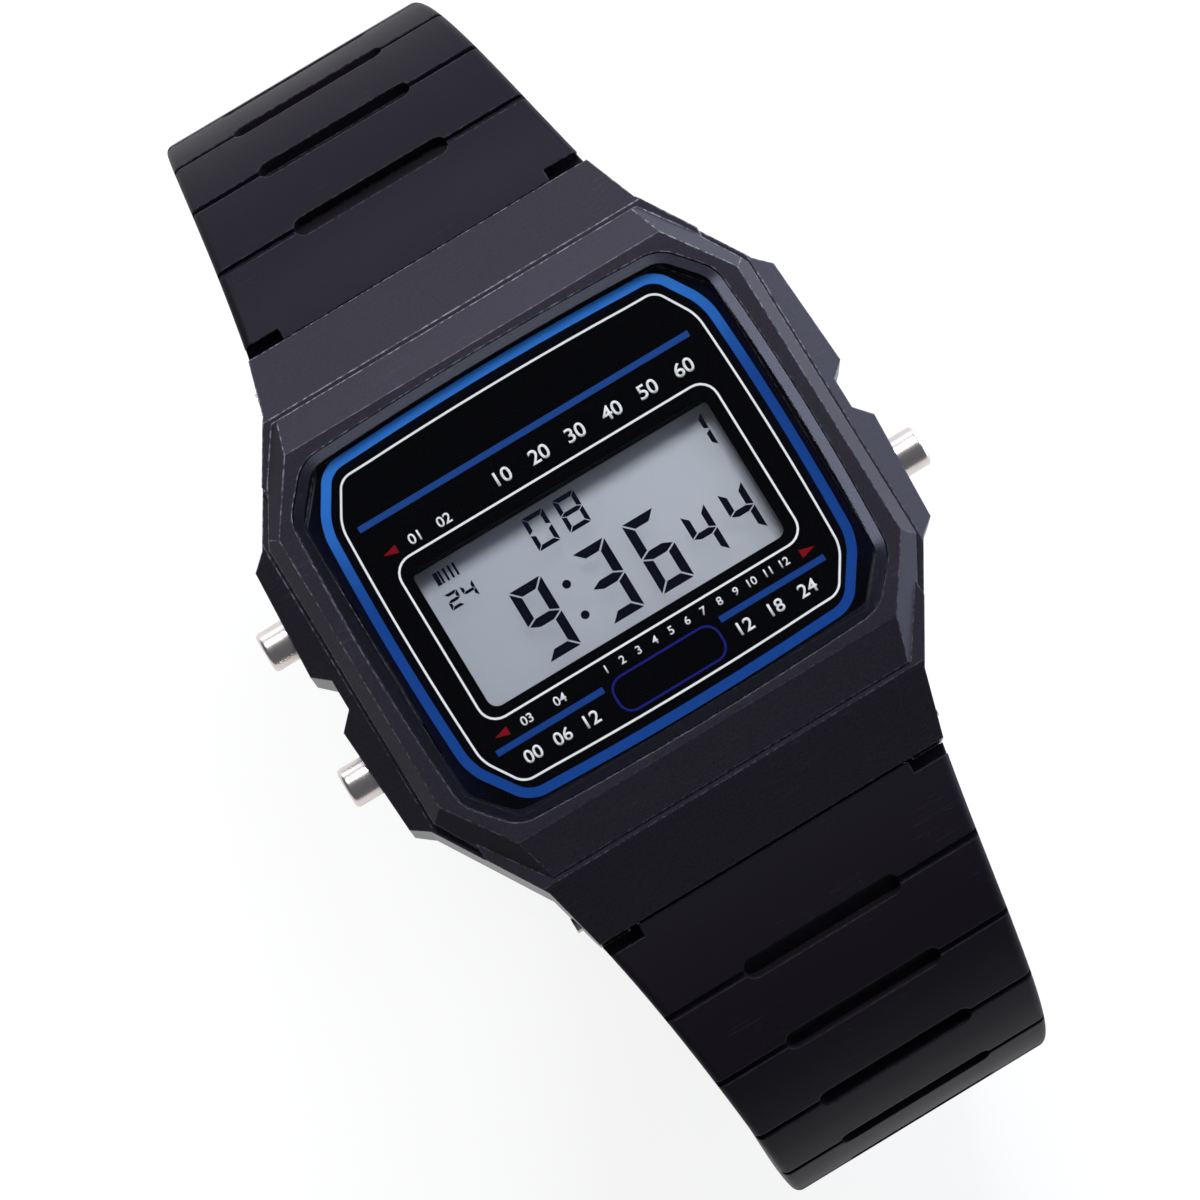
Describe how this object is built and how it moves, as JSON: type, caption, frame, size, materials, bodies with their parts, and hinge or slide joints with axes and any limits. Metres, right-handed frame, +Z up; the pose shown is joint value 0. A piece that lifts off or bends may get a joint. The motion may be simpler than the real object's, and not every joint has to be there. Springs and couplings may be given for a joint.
{
  "type": "digital wristwatch",
  "caption": "Digital watch with an octagonal resin case, push buttons, a grey display and a tapered two part resin strap that ends in a buckle and a keeper loop.",
  "frame": {"origin": "on the ground under the middle of the case, at the strap tail's outer face", "axes": "+X to 3 o'clock, +Y to 12 o'clock, +Z up through the crystal"},
  "size_m": [0.0362, 0.0704, 0.0597],
  "materials": {
    "case_resin": "satin moulded resin",
    "strap_resin": "satin flexible resin",
    "crystal_acrylic": "clear polished acrylic",
    "seal_rubber": "matt",
    "panel_black": "black print behind the window",
    "lcd_film": "grey polarising film",
    "lcd_ink": "dark display figures",
    "lcd_glass": "grey liquid crystal glass",
    "lcd_silver": "matt reflecting film",
    "light_acrylic": "milky light guide",
    "lamp_green": "tinted lamp body",
    "zebra_rubber": "striped conducting rubber",
    "frame_plastic": "moulded",
    "board_green": "solder mask",
    "chip_resin": "potted chip",
    "can_metal": "drawn can",
    "contact_brass": "plated",
    "screw_steel": "machined",
    "battery_steel": "nickel plated",
    "clamp_steel": "sheet",
    "sheet_film": "amber insulating film",
    "piezo_brass": "disc with a pale ceramic face",
    "back_steel": "turned, brushed",
    "button_steel": "polished",
    "buckle_plastic": "satin moulded",
    "spring_steel": "drawn wire",
    "bar_steel": "turned"
  },
  "bodies": {
    "case": {"case_body": "case_resin", "crystal": "crystal_acrylic", "crystal_gasket": "seal_rubber", "dial_panel": "panel_black", "lcd_front_polarizer": "lcd_film", "lcd_segments": "lcd_ink", "lcd_cell": "lcd_glass", "lcd_reflector": "lcd_silver", "light_guide": "light_acrylic", "light_lamp": "lamp_green", "zebra_connectors": "zebra_rubber", "module_frame": "frame_plastic", "circuit_board": "board_green", "chip_cover": "chip_resin", "quartz_crystal": "can_metal", "side_contacts": "contact_brass", "module_screws": "screw_steel", "battery": "battery_steel", "battery_contact": "contact_brass", "battery_clamp": "clamp_steel", "insulator_sheet": "sheet_film", "buzzer_spring": "spring_steel", "piezo_buzzer": "piezo_brass", "case_back": "back_steel", "case_back_gasket": "seal_rubber", "case_back_screws": "screw_steel", "light_button_spring": "spring_steel", "mode_button_spring": "spring_steel", "alarm_button_spring": "spring_steel", "spring_bar_tube_12": "bar_steel", "spring_bar_tube_6": "bar_steel", "spring_bar_spring_12": "spring_steel", "spring_bar_spring_6": "spring_steel"},
    "light_button": {"light_button": "button_steel", "light_button_seal": "seal_rubber", "light_button_clip": "spring_steel"},
    "mode_button": {"mode_button": "button_steel", "mode_button_seal": "seal_rubber", "mode_button_clip": "spring_steel"},
    "alarm_button": {"alarm_button": "button_steel", "alarm_button_seal": "seal_rubber", "alarm_button_clip": "spring_steel"},
    "strap_buckle_half": {"strap_buckle_half": "strap_resin"},
    "strap_tail_half": {"strap_tail_half": "strap_resin"},
    "buckle": {"buckle_frame": "buckle_plastic", "buckle_pin": "bar_steel"},
    "prong": {"buckle_prong": "buckle_plastic"},
    "keeper": {"keeper_loop": "strap_resin"},
    "plunger_right_12": {"spring_bar_plunger_right_12": "bar_steel"},
    "plunger_left_12": {"spring_bar_plunger_left_12": "bar_steel"},
    "plunger_right_6": {"spring_bar_plunger_right_6": "bar_steel"},
    "plunger_left_6": {"spring_bar_plunger_left_6": "bar_steel"}
  },
  "joints": [
    {"name": "light_button_press", "type": "slide", "parent": "case", "child": "light_button", "axis": [1, 0, 0], "range_m": [0, 0.0008], "stiffness_N_per_m": 500, "springref_m": -0.0006, "deforming": ["light_button_spring"]},
    {"name": "mode_button_press", "type": "slide", "parent": "case", "child": "mode_button", "axis": [1, 0, 0], "range_m": [0, 0.0008], "stiffness_N_per_m": 500, "springref_m": -0.0006, "deforming": ["mode_button_spring"]},
    {"name": "alarm_button_press", "type": "slide", "parent": "case", "child": "alarm_button", "axis": [-1, 0, 0], "range_m": [0, 0.0008], "stiffness_N_per_m": 500, "springref_m": -0.0006, "deforming": ["alarm_button_spring"]},
    {"name": "strap_buckle_half_swing", "type": "hinge", "parent": "case", "child": "strap_buckle_half", "pos_m": [0, 0.0168, 0.05335], "axis": [1, 0, 0], "range_deg": [-35, 0]},
    {"name": "strap_tail_half_swing", "type": "hinge", "parent": "case", "child": "strap_tail_half", "pos_m": [0, -0.0168, 0.05335], "axis": [1, 0, 0], "range_deg": [0, 8]},
    {"name": "buckle_swing", "type": "hinge", "parent": "strap_buckle_half", "child": "buckle", "pos_m": [0, 0.00205, 0.01485], "axis": [1, 0, 0], "range_deg": [-60, 10]},
    {"name": "prong_swing", "type": "hinge", "parent": "buckle", "child": "prong", "pos_m": [0, 0.00205, 0.01485], "axis": [1, 0, 0], "range_deg": [0, 80]},
    {"name": "keeper_slide", "type": "slide", "parent": "strap_buckle_half", "child": "keeper", "axis": [0, -0.9659, -0.2588], "range_m": [-0.0065, 0.004]},
    {"name": "plunger_right_12_push", "type": "slide", "parent": "case", "child": "plunger_right_12", "axis": [-1, 0, 0], "range_m": [0, 0.0023], "stiffness_N_per_m": 400, "springref_m": -0.0015, "deforming": ["spring_bar_spring_12"]},
    {"name": "plunger_left_12_push", "type": "slide", "parent": "case", "child": "plunger_left_12", "axis": [1, 0, 0], "range_m": [0, 0.0023], "stiffness_N_per_m": 400, "springref_m": -0.0015, "deforming": ["spring_bar_spring_12"]},
    {"name": "plunger_right_6_push", "type": "slide", "parent": "case", "child": "plunger_right_6", "axis": [-1, 0, 0], "range_m": [0, 0.0023], "stiffness_N_per_m": 400, "springref_m": -0.0015, "deforming": ["spring_bar_spring_6"]},
    {"name": "plunger_left_6_push", "type": "slide", "parent": "case", "child": "plunger_left_6", "axis": [1, 0, 0], "range_m": [0, 0.0023], "stiffness_N_per_m": 400, "springref_m": -0.0015, "deforming": ["spring_bar_spring_6"]}
  ]
}
